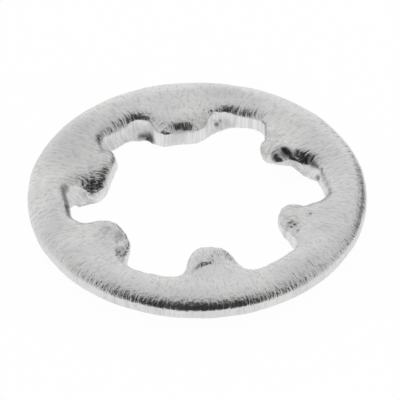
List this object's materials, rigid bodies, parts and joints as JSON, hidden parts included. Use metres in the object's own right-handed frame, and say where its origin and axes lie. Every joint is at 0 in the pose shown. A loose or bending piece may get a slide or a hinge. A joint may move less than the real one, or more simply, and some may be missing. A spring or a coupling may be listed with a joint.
{
  "type": "toothed lock washer",
  "caption": "Flat spring steel ring with twisted teeth round the inside of its opening, which bite into a screw head and the surface under it.",
  "frame": {"origin": "centre of the ring at the mid-plane of its sheet", "axes": "+Z along the axis of the ring, towards the screw head; +X along the centre line of one tooth"},
  "size_m": [0.006, 0.006, 0.0007],
  "materials": {
    "lock_washer": "satin zinc plating, tumbled"
  },
  "bodies": {
    "root": {"lock_washer": "lock_washer"}
  },
  "joints": []
}
